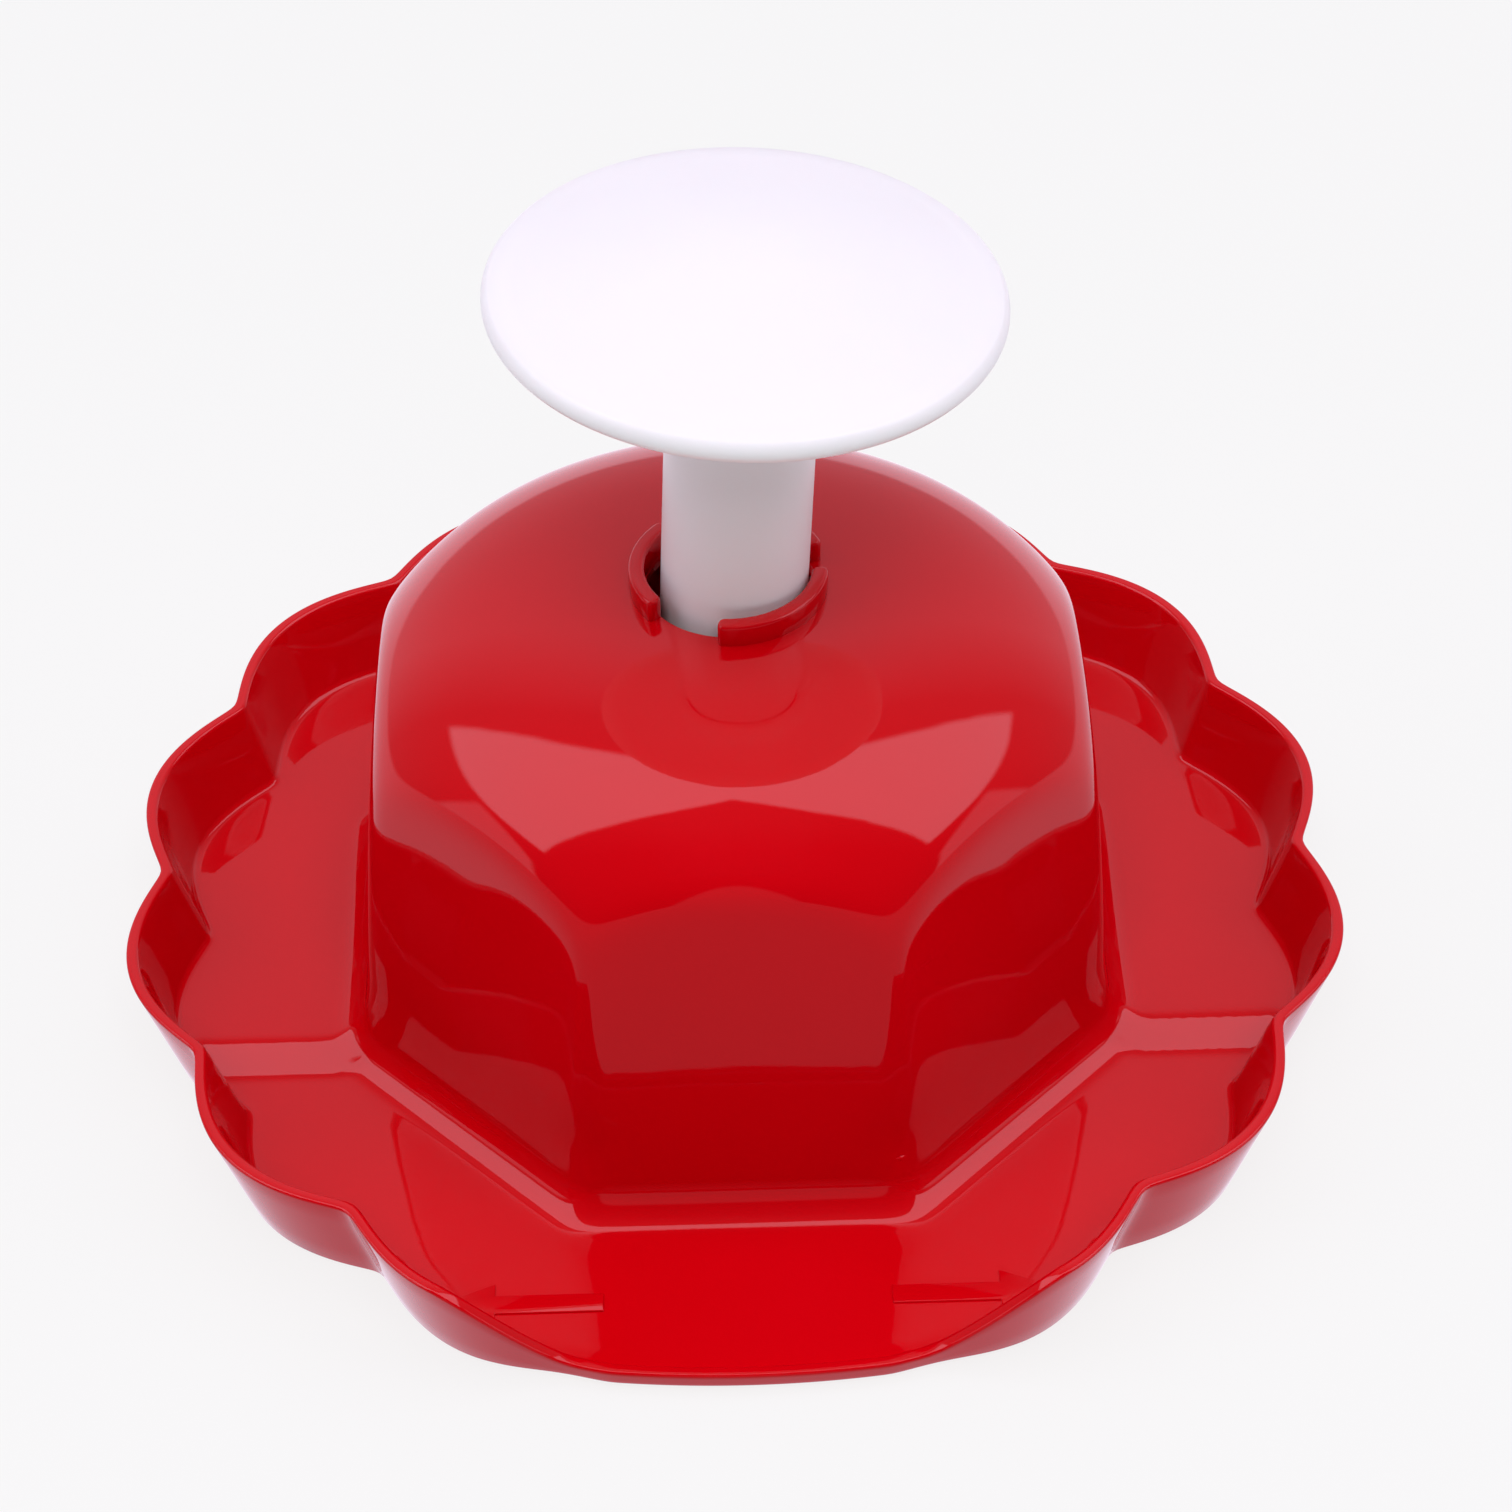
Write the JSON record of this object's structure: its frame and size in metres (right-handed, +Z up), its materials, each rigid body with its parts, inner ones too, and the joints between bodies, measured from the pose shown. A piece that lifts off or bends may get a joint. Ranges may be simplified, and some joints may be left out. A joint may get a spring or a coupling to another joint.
{
  "type": "egg slicer",
  "caption": "Press-down egg slicer: scalloped tray with an octagonal domed well, mushroom-headed plunger with ribbed pusher, and a twist-lock wire cutter in the mouth.",
  "frame": {"origin": "on the surface the tray stands on, under the middle of the well", "axes": "+Z up through the well, +X to the right along the widest line of the tray, -Y towards the low lip with the arrows"},
  "size_m": [0.1362, 0.1325, 0.0959],
  "materials": {
    "red_plastic": "high gloss, injection moulded",
    "white_plastic": "soft gloss, injection moulded",
    "stainless_steel": "bright drawn"
  },
  "bodies": {
    "housing": {"housing": "red_plastic"},
    "plunger": {"plunger_head": "white_plastic", "plunger_stem": "white_plastic", "pusher_screw": "stainless_steel"},
    "pusher": {"pusher_plate": "white_plastic", "pusher_washer": "stainless_steel"},
    "cutter": {"cutter_ring": "white_plastic", "wire_clamp_ring": "white_plastic", "wire_1": "stainless_steel", "wire_2": "stainless_steel", "wire_3": "stainless_steel", "wire_4": "stainless_steel", "wire_5": "stainless_steel", "wire_6": "stainless_steel", "wire_7": "stainless_steel", "wire_8": "stainless_steel", "wire_9": "stainless_steel", "wire_10": "stainless_steel", "clamp_screw_1": "stainless_steel", "clamp_screw_2": "stainless_steel", "clamp_screw_3": "stainless_steel", "clamp_screw_4": "stainless_steel"}
  },
  "joints": [
    {"name": "plunger_slide", "type": "slide", "parent": "housing", "child": "plunger", "axis": [0.0436, 0, 0.999], "range_m": [0, 0.028]},
    {"name": "pusher_swivel", "type": "hinge", "parent": "plunger", "child": "pusher", "pos_m": [0.0007, 0, 0.0566], "axis": [0.0436, 0, 0.999], "continuous": true},
    {"name": "cutter_twist", "type": "hinge", "parent": "housing", "child": "cutter", "pos_m": [0, 0, 0.003], "axis": [0, 0, 1], "range_deg": [-20, 0]}
  ]
}
